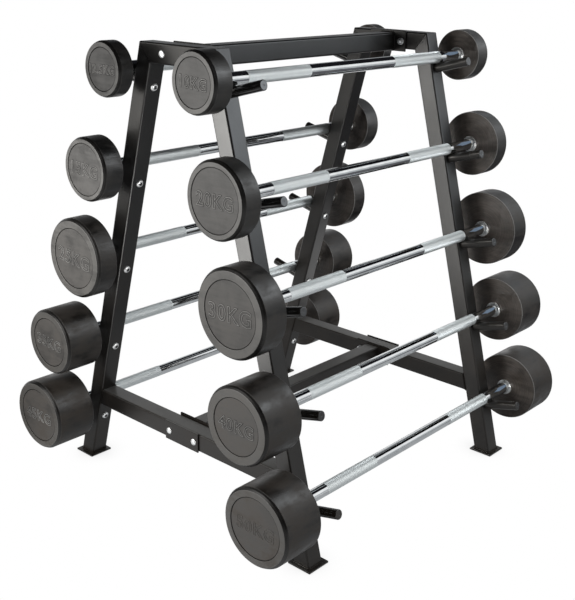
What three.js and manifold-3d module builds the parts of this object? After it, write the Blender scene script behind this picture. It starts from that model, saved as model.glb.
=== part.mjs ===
// Barbell storage rack with ten fixed barbells, in millimetres.
// +X runs along the bars, -Y is the front, +Z is up, and the origin is on the floor
// below the middle of the whole. Two leaning end frames are joined by two long beams.
// Each upright carries five pegs, and each bar lies in the corner between its pegs and uprights.

import * as THREE from 'three';
import { mergeVertices } from 'three/addons/utils/BufferGeometryUtils.js';
import Module from 'manifold-3d';

// Driving dimensions of the rack
const rackHeight = 1213.5;
const depthAtFloor = 905;
const leanDegrees = 14.84;
const uprightSpacing = 828;
const rackShift = -10;
const lowerRailTop = 231;

// Square tube of the frame, and the foot plates below it
const tubeSize = 50;
const tubeWall = 3;
const tubeInnerCorner = 2;
const footPlateMargin = 10.5;
const footPlateThickness = 5;

// Long beams: drops below the rails, and the flanges that bolt to the rails
const topBeamDrop = 4.5;
const lowerBeamDrop = 1.5;
const flangeWing = 38;
const flangeEdge = 4;
const flangeRise = 2;
const flangeThickness = 5;
const flangeVentRadius = 9;

// Plate outside each lower rail that backs the beam's bolts
const backingEdge = 2;
const backingThickness = 4;

// Pegs: a plain rod, held by a bolt that passes through both walls of the upright
const topPegDrop = 96.5;
const lowestPegHeight = 147;
const pitchLoss = 5;
const pegLength = 107;
const pegRadius = 12.5;
const pegEdge = 1.2;
const boltRadius = 5;
const boltEndSetBack = 1;

// Bars, and the washers that close each head
const barRadius = 16;
const headStandOff = 80;
const washerLip = 5;
const washerThickness = 6;

// Heads: a radius and a thickness for each weight in kilograms
const headRadius10 = 71;
const headThickness10 = 54.5;
const headRadius12p5 = 67;
const headThickness12p5 = 43.5;
const headRadius15 = 81.5;
const headThickness15 = 60;
const headRadius20 = 92.5;
const headThickness20 = 56;
const headRadius25 = 106.5;
const headThickness25 = 60;
const headRadius30 = 108.5;
const headThickness30 = 73;
const headRadius35 = 90;
const headThickness35 = 109.5;
const headRadius40 = 96.5;
const headThickness40 = 117;
const headRadius45 = 99;
const headThickness45 = 118;
const headRadius50 = 100.5;
const headThickness50 = 118;

// Edges of the heads, their recessed discs and their sockets
const headChamfer = 4;
const recessDepth = 1.5;
const recessSlope = 1.5;
const socketDepthShare = 0.55;

// Heads from the top tier down: discShare is the recessed disc's share of the radius
const frontHeads = [
  { weight: '10kg', radius: headRadius10, thickness: headThickness10, discShare: 0.79 },
  { weight: '20kg', radius: headRadius20, thickness: headThickness20, discShare: 0.82 },
  { weight: '30kg', radius: headRadius30, thickness: headThickness30, discShare: 0.75 },
  { weight: '40kg', radius: headRadius40, thickness: headThickness40, discShare: 0.73 },
  { weight: '50kg', radius: headRadius50, thickness: headThickness50, discShare: 0.77 },
];
const rearHeads = [
  { weight: '12p5kg', radius: headRadius12p5, thickness: headThickness12p5, discShare: 0.78 },
  { weight: '15kg', radius: headRadius15, thickness: headThickness15, discShare: 0.82 },
  { weight: '25kg', radius: headRadius25, thickness: headThickness25, discShare: 0.76 },
  { weight: '35kg', radius: headRadius35, thickness: headThickness35, discShare: 0.75 },
  { weight: '45kg', radius: headRadius45, thickness: headThickness45, discShare: 0.77 },
];

// Clearance between touching pieces, depth of a weld into its neighbour, and overrun of cuts
const fitGap = 0.3;
const weldBite = 0.6;
const cutOverrun = 60;

// Counts of flat faces on the round forms
const headSides = 20;
const barSides = 12;
const pegSides = 12;
const holeSides = 6;
const cornerSteps = 2;

// Sizes and places that follow from the driving dimensions
const lean = THREE.MathUtils.degToRad(leanDegrees);
const tubeHalf = tubeSize / 2;
const tubeDepthInPlan = tubeSize / Math.cos(lean);
const uprightX = uprightSpacing / 2;
const topRailZ = rackHeight - tubeHalf;
const lowerRailZ = lowerRailTop - tubeHalf;
const flangeWidth = tubeSize + 2 * flangeWing;
const flangeHeight = tubeSize + 2 * flangeEdge;
const backingHeight = tubeSize + 2 * backingEdge;
const headInnerX = uprightX + headStandOff;
const washerRadius = barRadius + washerLip;
const outerFaceY = (height) => depthAtFloor / 2 - height * Math.tan(lean);
const innerFaceY = (height) => outerFaceY(height) - tubeDepthInPlan;
const uprightAxisY = (height) => outerFaceY(height) - tubeDepthInPlan / 2;

// Heights at which the pegs' axes meet the uprights' outer faces, from the top tier down.
// Each pitch is smaller than the one above it by pitchLoss.
const topPegHeight = rackHeight - topPegDrop;
const pitches = frontHeads.length - 1;
const summed = (count) => (count * (count - 1)) / 2;
const firstPitch = (topPegHeight - lowestPegHeight + pitchLoss * summed(pitches)) / pitches;
const pegHeights = frontHeads.map((_, tier) => topPegHeight - tier * firstPitch + pitchLoss * summed(tier));

// Left is -X and right is +X
const ends = [{ name: 'left', sign: -1 }, { name: 'right', sign: 1 }];

// Pieces of both sides are made facing +Y, and the front's are turned half way round,
// which brings their +X end to the left
const sides = [
  { name: 'front', turn: Math.PI, rightward: -1, heads: frontHeads },
  { name: 'rear', turn: 0, rightward: 1, heads: rearHeads },
];

// Finishes: each mesh gets a material of its own
const finish = (color, roughness, metalness) => (
  () => new THREE.MeshStandardMaterial({ color, roughness, metalness })
);
const framePaint = finish(0x2a2826, 0.5, 0.1);
const pegPaint = finish(0x1c1b19, 0.35, 0.2);
const chrome = finish(0xd8dcdd, 0.15, 1);
const rubber = finish(0x3c3a37, 0.75, 0);

// Joins and cuts of closed solids
const wasm = await Module();
wasm.setup();

function solidOf(geometry) {
  const bare = geometry.clone();
  bare.deleteAttribute('normal');
  bare.deleteAttribute('uv');
  const merged = mergeVertices(bare);
  return new wasm.Manifold(new wasm.Mesh({
    numProp: 3,
    vertProperties: new Float32Array(merged.attributes.position.array),
    triVerts: new Uint32Array(merged.index.array),
  }));
}

function geometryOf(solid) {
  const { vertProperties, triVerts } = solid.getMesh();
  const geometry = new THREE.BufferGeometry();
  geometry.setAttribute('position', new THREE.BufferAttribute(new Float32Array(vertProperties), 3));
  geometry.setIndex(new THREE.BufferAttribute(new Uint32Array(triVerts), 1));
  geometry.computeVertexNormals();
  return geometry;
}

// All that lies beyond a plane parallel to X, which passes through point
// and faces along normal: both are [y, z]
function beyondPlane(point, normal) {
  const reach = rackHeight + depthAtFloor;
  const block = new THREE.BoxGeometry(reach, reach, reach);
  block.translate(0, 0, reach / 2);
  block.rotateX(Math.atan2(-normal[0], normal[1]));
  block.translate(0, point[0], point[1]);
  return solidOf(block);
}

// Corner radius of a many-sided hole whose flats clear a round rod
function clearRadius(rodRadius, sideCount) {
  return (rodRadius + fitGap) / Math.cos(Math.PI / sideCount);
}

// Square tube with rounded corners along Z, centred on the origin
function squareTube(length) {
  const section = roundedSquare(tubeSize, tubeInnerCorner + tubeWall);
  section.holes.push(roundedSquare(tubeSize - 2 * tubeWall, tubeInnerCorner));
  const tube = new THREE.ExtrudeGeometry(section, {
    depth: length,
    bevelEnabled: false,
    curveSegments: cornerSteps,
  });
  return tube.translate(0, 0, -length / 2);
}

function roundedSquare(size, cornerRadius) {
  const centre = size / 2 - cornerRadius;
  const square = new THREE.Shape();
  square.absarc(centre, -centre, cornerRadius, -Math.PI / 2, 0);
  square.absarc(centre, centre, cornerRadius, 0, Math.PI / 2);
  square.absarc(-centre, centre, cornerRadius, Math.PI / 2, Math.PI);
  square.absarc(-centre, -centre, cornerRadius, Math.PI, 1.5 * Math.PI);
  square.closePath();
  return square;
}

// Turned piece along +Y, from a profile of [radius, place along the axis]
function turned(profile, sideCount) {
  const points = profile.map(([radius, along]) => new THREE.Vector2(radius, along));
  return new THREE.LatheGeometry(points, sideCount);
}

// The mitre between an upright and its top rail runs from the outer corner at the top
// to the inner corner below it. facing is 1 to cut the upright and -1 to cut the rail.
function mitreCut(facing) {
  const outerY = outerFaceY(rackHeight);
  const innerY = innerFaceY(rackHeight - tubeSize);
  const mitreLength = Math.hypot(outerY - innerY, tubeSize);
  const normal = [-facing * tubeSize / mitreLength, facing * (outerY - innerY) / mitreLength];
  const setBack = fitGap / 2;
  return beyondPlane([outerY - normal[0] * setBack, rackHeight - normal[1] * setBack], normal);
}

// Upright of the side that faces +Y: a leaning tube, mitred at the top, welded on its foot plate
function makeUpright() {
  const tube = squareTube(rackHeight / Math.cos(lean) + 2 * cutOverrun);
  tube.rotateX(lean);
  tube.translate(0, uprightAxisY(rackHeight / 2), rackHeight / 2);
  const footPlateSize = tubeSize + 2 * footPlateMargin;
  const foot = new THREE.BoxGeometry(footPlateSize, footPlateSize, footPlateThickness);
  foot.translate(0, uprightAxisY(0), footPlateThickness / 2);
  let upright = solidOf(tube);
  upright = upright.subtract(mitreCut(1));
  upright = upright.subtract(beyondPlane([0, footPlateThickness - weldBite], [0, -1]));
  upright = upright.add(solidOf(foot));
  for (const height of pegHeights) {
    upright = upright.subtract(boltHole(height));
  }
  return geometryOf(upright);
}

// Hole for a peg's bolt through both walls
function boltHole(height) {
  const radius = clearRadius(boltRadius, holeSides);
  const hole = new THREE.CylinderGeometry(radius, radius, 2 * (tubeSize + cutOverrun), holeSides);
  hole.rotateX(lean);
  hole.translate(0, outerFaceY(height), height);
  return solidOf(hole);
}

// Peg along +Y that stands on the plane y = 0, with its bolt's shank behind it
function makePeg() {
  const boltEnd = boltEndSetBack - tubeSize;
  return turned([
    [0, boltEnd],
    [boltRadius, boltEnd],
    [boltRadius, fitGap],
    [pegRadius, fitGap],
    [pegRadius, pegLength - pegEdge],
    [pegRadius - pegEdge, pegLength],
    [0, pegLength],
  ], pegSides);
}

// Both ends of a rail along Y, cut alike
function cutBothEnds(rail, rearCut) {
  return rail.subtract(rearCut).subtract(rearCut.rotate([0, 0, 180]));
}

// Top rail, mitred to the uprights
function makeTopRail() {
  const tube = squareTube(2 * (outerFaceY(rackHeight) + cutOverrun));
  tube.rotateX(Math.PI / 2);
  tube.translate(0, 0, topRailZ);
  return geometryOf(cutBothEnds(solidOf(tube), mitreCut(-1)));
}

// Lower rail, its sloped ends against the uprights' inner faces, with the backing plate on +X
function makeLowerRail() {
  const tube = squareTube(2 * (innerFaceY(lowerRailZ) + cutOverrun));
  tube.rotateX(Math.PI / 2);
  tube.translate(0, 0, lowerRailZ);
  const endY = innerFaceY(lowerRailZ) - fitGap / Math.cos(lean);
  const rearCut = beyondPlane([endY, lowerRailZ], [Math.cos(lean), Math.sin(lean)]);
  const rail = cutBothEnds(solidOf(tube), rearCut);
  const backing = new THREE.BoxGeometry(backingThickness + weldBite, flangeWidth, backingHeight);
  backing.translate(tubeHalf + (backingThickness - weldBite) / 2, 0, lowerRailZ);
  return geometryOf(rail.add(solidOf(backing)));
}

// Long beam along X with a vented flange welded on each end
function makeBeam() {
  const flangeFace = uprightX - tubeHalf - fitGap;
  const flangeBack = flangeFace - flangeThickness;
  const tube = squareTube(2 * (flangeBack + weldBite));
  tube.rotateY(Math.PI / 2);
  let beam = solidOf(tube);
  for (const { sign } of ends) {
    const flange = new THREE.BoxGeometry(flangeThickness, flangeWidth, flangeHeight);
    flange.translate(sign * (flangeBack + flangeThickness / 2), 0, flangeRise);
    const vent = new THREE.CylinderGeometry(flangeVentRadius, flangeVentRadius, cutOverrun, holeSides);
    vent.rotateZ(Math.PI / 2);
    vent.translate(sign * flangeBack, 0, 0);
    beam = beam.add(solidOf(flange)).subtract(solidOf(vent));
  }
  return geometryOf(beam);
}

// Bar along X, with a washer against each head and its ends in the heads' sockets
function makeBar({ thickness }) {
  const barEnd = headInnerX + thickness * socketDepthShare - fitGap;
  const washerFace = headInnerX - fitGap;
  const washerBack = washerFace - washerThickness;
  const half = [
    [barRadius, washerBack],
    [washerRadius, washerBack],
    [washerRadius, washerFace],
    [barRadius, washerFace],
    [barRadius, barEnd],
    [0, barEnd],
  ];
  const otherHalf = half.map(([radius, along]) => [radius, -along]).reverse();
  return turned([...otherHalf, ...half], barSides).rotateZ(-Math.PI / 2);
}

// Head along +Y from its inner face: blind socket, chamfered edges and a recessed disc outside
function makeHead({ radius, thickness, discShare }) {
  const socketRadius = clearRadius(barRadius, headSides);
  const socketDepth = thickness * socketDepthShare;
  const discRadius = radius * discShare;
  const discFace = thickness - recessDepth;
  return turned([
    [0, socketDepth],
    [socketRadius, socketDepth],
    [socketRadius, 0],
    [radius - headChamfer, 0],
    [radius, headChamfer],
    [radius, thickness - headChamfer],
    [radius - headChamfer, thickness],
    [discRadius, thickness],
    [discRadius - recessSlope, discFace],
    [0, discFace],
  ], headSides);
}

function named(name, geometry, material) {
  const mesh = new THREE.Mesh(geometry, material);
  mesh.name = name;
  return mesh;
}

// Place of a tier on the side that faces +Y: its Y points straight out of the upright's
// outer face at the peg's axis, and its Z runs up along that face
function tierPlace(tier) {
  const place = new THREE.Group();
  place.position.set(0, outerFaceY(pegHeights[tier]), pegHeights[tier]);
  place.rotation.x = lean;
  return place;
}

// The two uprights of one side with their pegs
function makeRackSide(side, uprightGeometry, pegGeometry) {
  const group = new THREE.Group();
  group.rotation.z = side.turn;
  for (const end of ends) {
    const x = end.sign * side.rightward * uprightX;
    const upright = named(`upright_${end.name}_${side.name}`, uprightGeometry, framePaint());
    upright.position.x = x;
    group.add(upright);
    side.heads.forEach((_, tier) => {
      const place = tierPlace(tier);
      place.position.x = x;
      place.add(named(`peg_${end.name}_${side.name}_${tier + 1}`, pegGeometry, pegPaint()));
      group.add(place);
    });
  }
  return group;
}

// Rails of the end frames: the lower rails turn their backing plates outward
function makeRails() {
  const group = new THREE.Group();
  const topRailGeometry = makeTopRail();
  const lowerRailGeometry = makeLowerRail();
  for (const end of ends) {
    const topRail = named(`top_rail_${end.name}`, topRailGeometry, framePaint());
    const lowerRail = named(`lower_rail_${end.name}`, lowerRailGeometry, framePaint());
    topRail.position.x = end.sign * uprightX;
    lowerRail.position.x = end.sign * uprightX;
    lowerRail.rotation.z = end.sign > 0 ? 0 : Math.PI;
    group.add(topRail, lowerRail);
  }
  return group;
}

function makeRack() {
  const rack = new THREE.Group();
  rack.position.x = rackShift;
  const uprightGeometry = makeUpright();
  const pegGeometry = makePeg();
  for (const side of sides) {
    rack.add(makeRackSide(side, uprightGeometry, pegGeometry));
  }
  const beamGeometry = makeBeam();
  const topBeam = named('top_beam', beamGeometry, framePaint());
  const lowerBeam = named('lower_beam', beamGeometry, framePaint());
  topBeam.position.z = topRailZ - topBeamDrop;
  lowerBeam.position.z = lowerRailZ - lowerBeamDrop;
  rack.add(makeRails(), topBeam, lowerBeam);
  return rack;
}

// Barbell in its tier's place, resting on the pegs and against the uprights
function makeBarbell(head, rightward) {
  const barbell = new THREE.Group();
  barbell.position.set(0, barRadius + fitGap, pegRadius + barRadius + fitGap);
  barbell.add(named(`bar_${head.weight}`, makeBar(head), chrome()));
  const headGeometry = makeHead(head);
  for (const end of ends) {
    const outward = end.sign * rightward;
    const piece = named(`head_${head.weight}_${end.name}`, headGeometry, rubber());
    piece.position.x = outward * headInnerX;
    piece.rotation.z = -outward * Math.PI / 2;
    barbell.add(piece);
  }
  return barbell;
}

function makeBarbells(side) {
  const group = new THREE.Group();
  group.rotation.z = side.turn;
  side.heads.forEach((head, tier) => {
    const place = tierPlace(tier);
    place.add(makeBarbell(head, side.rightward));
    group.add(place);
  });
  return group;
}

const group = new THREE.Group();
group.add(makeRack());
for (const side of sides) {
  group.add(makeBarbells(side));
}

export default group;
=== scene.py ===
"""Barbell storage rack with ten fixed barbells: its looks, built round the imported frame.

Metres, +X along the bars, -Y the front, +Z up. Left is -X.
"""

import math
from collections import namedtuple

import bmesh
import bpy
import numpy as np
from mathutils import Matrix, Vector


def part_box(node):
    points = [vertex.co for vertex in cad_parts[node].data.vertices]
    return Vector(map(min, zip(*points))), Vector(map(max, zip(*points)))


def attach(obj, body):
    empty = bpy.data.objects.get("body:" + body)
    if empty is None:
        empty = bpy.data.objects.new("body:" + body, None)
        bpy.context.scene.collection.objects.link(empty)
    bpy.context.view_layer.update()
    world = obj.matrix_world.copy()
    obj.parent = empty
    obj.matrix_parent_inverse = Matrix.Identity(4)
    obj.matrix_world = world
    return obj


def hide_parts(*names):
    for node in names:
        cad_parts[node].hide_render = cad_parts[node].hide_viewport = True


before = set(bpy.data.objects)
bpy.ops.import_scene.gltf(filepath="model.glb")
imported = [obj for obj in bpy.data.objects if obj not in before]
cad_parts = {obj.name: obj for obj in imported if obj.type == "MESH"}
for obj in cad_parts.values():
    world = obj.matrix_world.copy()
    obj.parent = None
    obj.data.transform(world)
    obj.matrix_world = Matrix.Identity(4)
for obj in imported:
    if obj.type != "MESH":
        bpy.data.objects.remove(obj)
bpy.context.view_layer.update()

ALONG_X = Vector((1, 0, 0))
ALONG_Y = Vector((0, 1, 0))
UP = Vector((0, 0, 1))

# Sizes of the rack that the part's source also has
LEAN = math.radians(14.84)
TUBE = 0.050
TUBE_CORNER = 0.005
OUTER_FACE_AT_FLOOR = 0.4525
RACK_HEIGHT = 1.2135
FIT_GAP = 0.0003
TOP_RAIL_Z = RACK_HEIGHT - TUBE / 2
LOWER_RAIL_Z = 0.206
FOOT_SIZE = 0.071
FOOT_THICKNESS = 0.005
FLANGE_WIDTH = 0.126
FLANGE_HEIGHT = 0.058
FLANGE_RISE = 0.002
FLANGE_THICKNESS = 0.005
BACKING_HEIGHT = 0.054
BACKING_THICKNESS = 0.004
TOP_BEAM_Z = TOP_RAIL_Z - 0.0045
LOWER_BEAM_Z = LOWER_RAIL_Z - 0.0015
BEAM_BOLT_Y = 0.0475

# Eased edges, plates sunk into each other, and weld beads, which only the looks have
TUBE_SEAM = 0.0007
PLATE_EDGE = 0.0008
TUBE_SUNK = 0.0005
BACKING_SUNK = 0.0004
FOOT_WELD = 0.0026
RAIL_WELD = 0.0024

# Pegs and barbells
PEG_RADIUS = 0.0125
PEG_LENGTH = 0.107
BAR_RADIUS = 0.016
HEAD_INNER_X = 0.494
WASHER_RADIUS = 0.0230
WASHER_THICKNESS = 0.006
KNURL_START = 0.170
KNURL_END = 0.388
KNURL_RISE = 0.00015
# How much sooner some grips stop, towards the heads
KNURL_CUTS = {"20kg": 0.018, "30kg": 0.012, "40kg": 0.020, "50kg": 0.022}
SOCKET_SHARE = 0.55
# Thickness of the letters' outlines and of the dark bead under them, which is painted shadow, and how far
# their height is scaled
LETTER_BEAD, BEAD_SCALE = 0.0010, 1.25
LETTER_SHADOW_WIDTH, SHADOW_SCALE = 0.0019, 0.16

# Heads from the top tier down. The disc's share is of the radius, the text's share is of the
# diameter, and the text's turn is in degrees
Head = namedtuple("Head", "weight text radius thickness disc_share text_share turn")
FRONT_HEADS = [
    Head("10kg", "10KG", 0.0710, 0.0545, 0.79, 0.61, -3.5),
    Head("20kg", "20KG", 0.0925, 0.0560, 0.82, 0.63, 0.5),
    Head("30kg", "30KG", 0.1085, 0.0730, 0.75, 0.62, 2.0),
    Head("40kg", "40KG", 0.0965, 0.1170, 0.73, 0.57, 0.0),
    Head("50kg", "50KG", 0.1005, 0.1180, 0.77, 0.58, 0.5),
]
REAR_HEADS = [
    Head("12p5kg", "12.5KG", 0.0670, 0.0435, 0.78, 0.69, 0.5),
    Head("15kg", "15KG", 0.0815, 0.0600, 0.82, 0.64, -2.5),
    Head("25kg", "25KG", 0.1065, 0.0600, 0.76, 0.61, -5.5),
    Head("35kg", "35KG", 0.0900, 0.1095, 0.75, 0.58, -3.0),
    Head("45kg", "45KG", 0.0990, 0.1180, 0.77, 0.58, 1.0),
]
SIDES = [("front", -1, FRONT_HEADS), ("rear", 1, REAR_HEADS)]
ENDS = [("left", -1), ("right", 1)]

# Pieces whose wear or light differs from their neighbours'
WORN_HEADS = {"50kg"}
MIDDLE_LEFT_HEADS = {"15kg", "25kg"}
DIM_LEFT_HEADS = {"12p5kg"}
SHADED_GRIPS = {"12p5kg", "15kg"}


def group(name):
    return bpy.data.collections.new(name)


# Which pieces each soft box lights and each glowing panel shows in
painted_pieces = group("painted_pieces")
rubber_pieces = group("rubber_pieces")
front_uprights = group("front_uprights")
rear_uprights = group("rear_uprights")
rear_heads = group("rear_heads")
bright_pieces = group("bright_pieces")
right_pegs = group("right_pegs")
right_heads = group("right_heads")
far_upright = group("far_upright")
top_rails = group("top_rails")
shafts = group("shafts")
middle_heads = group("middle_heads")
dim_head = group("dim_head")
inner_faces = group("inner_faces")
grip_pieces = group("grip_pieces")
back_lit_grips = group("back_lit_grips")

# Meshes

SHARP_ANGLE = math.radians(40)
CORNER_STEPS = 5
RING_SIDES = 48
BOLT_SLOPE = math.radians(62)
# Finishes after a piece's first material: on painted steel the weld and a painted shadow line, and on a bolt
# or a peg the painted shade in a socket or the painted light on a peg's end
WELD, SHADOW_LINE = 1, 2
SOCKET_SHADE = LIT_PEG_FACE = 1


class Shape:
    """Gathers the closed shells of one piece, at their places in the frame."""

    def __init__(self):
        self.points = []
        self.faces = []
        self.finishes = []
        self.uvs = []

    def add(self, points, faces, finish=0, uvs=None):
        first = len(self.points)
        self.points += [tuple(p) for p in points]
        self.faces += [tuple(first + i for i in face) for face in faces]
        self.finishes += [finish] * len(faces) if isinstance(finish, int) else finish
        self.uvs += uvs if uvs else [[(0.0, 0.0)] * len(face) for face in faces]

    def piece(self, name, body, slot, materials, replaced=()):
        mesh = bpy.data.meshes.new(name)
        mesh.from_pydata(self.points, [], self.faces)
        for material in materials:
            mesh.materials.append(material)
        mesh.polygons.foreach_set("material_index", self.finishes)
        layer = mesh.uv_layers.new(name="UVMap")
        layer.data.foreach_set("uv", [c for face in self.uvs for uv in face for c in uv])
        work = bmesh.new()
        work.from_mesh(mesh)
        bmesh.ops.recalc_face_normals(work, faces=work.faces)
        work.to_mesh(mesh)
        work.free()
        mesh.shade_smooth()
        mesh.set_sharp_from_angle(angle=SHARP_ANGLE)
        obj = bpy.data.objects.new(name, mesh)
        bpy.context.scene.collection.objects.link(obj)
        even = obj.modifiers.new("even_normals", "WEIGHTED_NORMAL")
        even.keep_sharp = True
        if slot in ("frame_paint", "peg_paint"):
            painted_pieces.objects.link(obj)
        elif slot == "head_rubber":
            rubber_pieces.objects.link(obj)
        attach(obj, body)
        if replaced:
            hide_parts(*replaced)
        return obj


def between(first, second, sides):
    """Faces between two rings of points that start at these places in the list."""
    faces = []
    for k in range(sides):
        n = (k + 1) % sides
        faces.append([first + k, first + n, second + n, second + k])
    return faces


def lathe(shape, place, profile, sides, finish=0):
    """Turns a profile of (radius, place along local Y) round local Y; radius 0 closes it."""
    points = []
    rings = []
    for radius, along in profile:
        if radius == 0:
            rings.append([len(points)] * sides)
            points.append(place @ Vector((0, along, 0)))
            continue
        rings.append(list(range(len(points), len(points) + sides)))
        for k in range(sides):
            angle = math.tau * k / sides
            points.append(place @ Vector((radius * math.cos(angle), along, radius * math.sin(angle))))
    faces, uvs, finishes = [], [], []
    travelled = 0.0
    for j in range(len(profile) - 1):
        here, there = rings[j], rings[j + 1]
        step = math.dist(profile[j], profile[j + 1])
        for k in range(sides):
            n = (k + 1) % sides
            corners = [(here[k], k, travelled), (here[n], k + 1, travelled),
                       (there[n], k + 1, travelled + step), (there[k], k, travelled + step)]
            kept = []
            for corner in corners:
                if corner[0] not in [c[0] for c in kept]:
                    kept.append(corner)
            faces.append([c[0] for c in kept])
            uvs.append([(c[1] / sides, c[2]) for c in kept])
            finishes.append(finish if isinstance(finish, int) else finish[j])
        travelled += step
    shape.add(points, faces, finishes, uvs)


def arc(centre, radius, first, last, steps):
    """Points of (radius, along) on an arc, angles in degrees from the radius axis."""
    found = []
    for k in range(steps + 1):
        angle = math.radians(first + (last - first) * k / steps)
        found.append((centre[0] + radius * math.cos(angle), centre[1] + radius * math.sin(angle)))
    return found


def rounded_square(size, corner):
    middle = size / 2 - corner
    found = []
    for quarter, (a, b) in enumerate([(1, -1), (1, 1), (-1, 1), (-1, -1)]):
        for k in range(CORNER_STEPS + 1):
            angle = math.radians(90 * (quarter - 1) + 90 * k / CORNER_STEPS)
            found.append((a * middle + corner * math.cos(angle), b * middle + corner * math.sin(angle)))
    return found


TUBE_SECTION = rounded_square(TUBE, TUBE_CORNER)
TUBE_END = rounded_square(TUBE - 2 * TUBE_SEAM, TUBE_CORNER - TUBE_SEAM)


def on_plane(centre, along, across, section, plane):
    """Where the lines of a tube's section, which run along it, meet a plane (point, normal)."""
    other = along.cross(across)
    point, normal = plane
    found = []
    for a, b in section:
        base = centre + across * a + other * b
        found.append(base + along * (normal.dot(point - base) / normal.dot(along)))
    return found


def tube(shape, centre, along, across, start, end):
    """Square tube between two planes that face outward, its ends eased by the seam's width."""
    rings = [on_plane(centre, along, across, TUBE_END, start)]
    for point, normal in (start, end):
        rings.append(on_plane(centre, along, across, TUBE_SECTION, (point - normal * TUBE_SEAM, normal)))
    rings.append(on_plane(centre, along, across, TUBE_END, end))
    count = len(TUBE_SECTION)
    faces = [list(range(count)), list(range(3 * count, 4 * count))]
    for ring in range(3):
        faces += between(ring * count, (ring + 1) * count, count)
    shape.add([p for ring in rings for p in ring], faces)


def block(shape, low, high, edge=PLATE_EDGE, finish=0):
    """Plate or block between two corners, with rounded edges."""
    low, high = Vector(low), Vector(high)
    work = bmesh.new()
    bmesh.ops.create_cube(work, size=1)
    size = high - low
    for v in work.verts:
        v.co = Vector(v.co[i] * size[i] for i in range(3)) + (low + high) / 2
    bmesh.ops.bevel(work, geom=work.edges[:], offset=edge, offset_type="OFFSET",
                    segments=2, profile=0.5, affect="EDGES")
    work.verts.index_update()
    shape.add([v.co.copy() for v in work.verts], [[v.index for v in f.verts] for f in work.faces], finish)
    work.free()


def bead(shape, path, normal, radius):
    """Rippled weld bead along a closed path that lies in the plane with this normal."""
    step, pitch, ripple, sway, sides = 0.0009, 0.0032, 0.14, 0.08, 8
    loop = [Vector(p) for p in path]
    lengths = [(loop[(k + 1) % len(loop)] - loop[k]).length for k in range(len(loop))]
    total = sum(lengths)
    count = int(total / step)
    middle = sum(loop, Vector()) / len(loop)
    centres = []
    k, passed = 0, 0.0
    for n in range(count):
        goal = total * n / count
        while passed + lengths[k] < goal:
            passed += lengths[k]
            k += 1
        centres.append(loop[k].lerp(loop[(k + 1) % len(loop)], (goal - passed) / lengths[k]))
    ripples = round(total / pitch)
    points = []
    for n, centre in enumerate(centres):
        ahead = (centres[(n + 1) % count] - centres[n - 1]).normalized()
        out = ahead.cross(normal).normalized()
        if out.dot(centre - middle) < 0:
            out = -out
        phase = (n / count * ripples) % 1
        size = radius * (1 + ripple * (0.5 - phase) + sway * math.sin(n / count * math.tau * 7))
        for s in range(sides):
            angle = math.tau * s / sides
            points.append(centre + out * (size * math.cos(angle)) + normal * (size * math.sin(angle)))
    faces = []
    for n in range(count):
        faces += between(n * sides, (n + 1) % count * sides, sides)
    shape.add(points, faces, WELD)


def hexagon_reach(angle, apothem):
    """Distance from the centre of a hexagon to its side at an angle."""
    return apothem / math.cos((angle + math.pi / 6) % (math.pi / 3) - math.pi / 6)


def ringed(shape, place, rings):
    """Closed shell through rings of (radius as a function of angle, place along local Y)."""
    sides = RING_SIDES
    points, faces = [], []
    for reach, along in rings:
        for k in range(sides):
            angle = math.tau * k / sides
            radius = reach(angle)
            points.append(place @ Vector((radius * math.cos(angle), along, radius * math.sin(angle))))
    for j in range(len(rings) - 1):
        faces += between(j * sides, (j + 1) * sides, sides)
    last = (len(rings) - 1) * sides
    faces += [list(range(sides)), list(range(last, last + sides))]
    shape.add(points, faces)


def facing(origin, direction, up=UP):
    """Matrix whose local Y points along direction."""
    y = Vector(direction).normalized()
    x = y.cross(up).normalized()
    z = x.cross(y)
    turn = Matrix((x, y, z)).transposed().to_4x4()
    return Matrix.Translation(origin) @ turn


def round_reach(radius):
    return lambda angle: radius


def hex_reach(apothem, turn):
    return lambda angle: hexagon_reach(angle + turn, apothem)


def button_bolt(shape, place, turn):
    """Button head with a hexagon socket whose plug is painted dark as shade, its underside at local y = 0."""
    radius, height, socket = 0.0103, 0.0056, 0.0052
    rings = [(round_reach(radius - 0.0003), -0.0002), (round_reach(radius), 0.0003)]
    for k in range(1, 8):
        angle = BOLT_SLOPE * k / 7
        rings.append((round_reach(radius * math.cos(angle)),
                      height * math.sin(angle) / math.sin(BOLT_SLOPE)))
    rings.append((hex_reach(socket + 0.0004, turn), height + 0.0001))
    rings.append((hex_reach(socket, turn), height - 0.0003))
    rings.append((hex_reach(socket, turn), height - 0.0032))
    rings.append((hex_reach(socket * 0.4, turn), height - 0.0036))
    ringed(shape, place, rings)
    floor, mouth, reach = height - 0.0033, height - 0.0012, socket * 0.97
    lathe(shape, place, [(0, floor), (reach, floor), (reach, mouth), (0, mouth)], 24, SOCKET_SHADE)


def domed_bolt(shape, place):
    """Plain domed head, its underside at local y = 0."""
    radius, height = 0.0092, 0.0048
    profile = [(0, -0.0003), (radius - 0.0004, -0.0003), (radius, 0.0003), (radius, 0.0009)]
    for k in range(1, 8):
        angle = math.radians(90 * k / 8)
        profile.append((radius * math.cos(angle), 0.0009 + (height - 0.0009) * math.sin(angle)))
    profile.append((0, height))
    lathe(shape, place, profile, 40)


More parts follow.
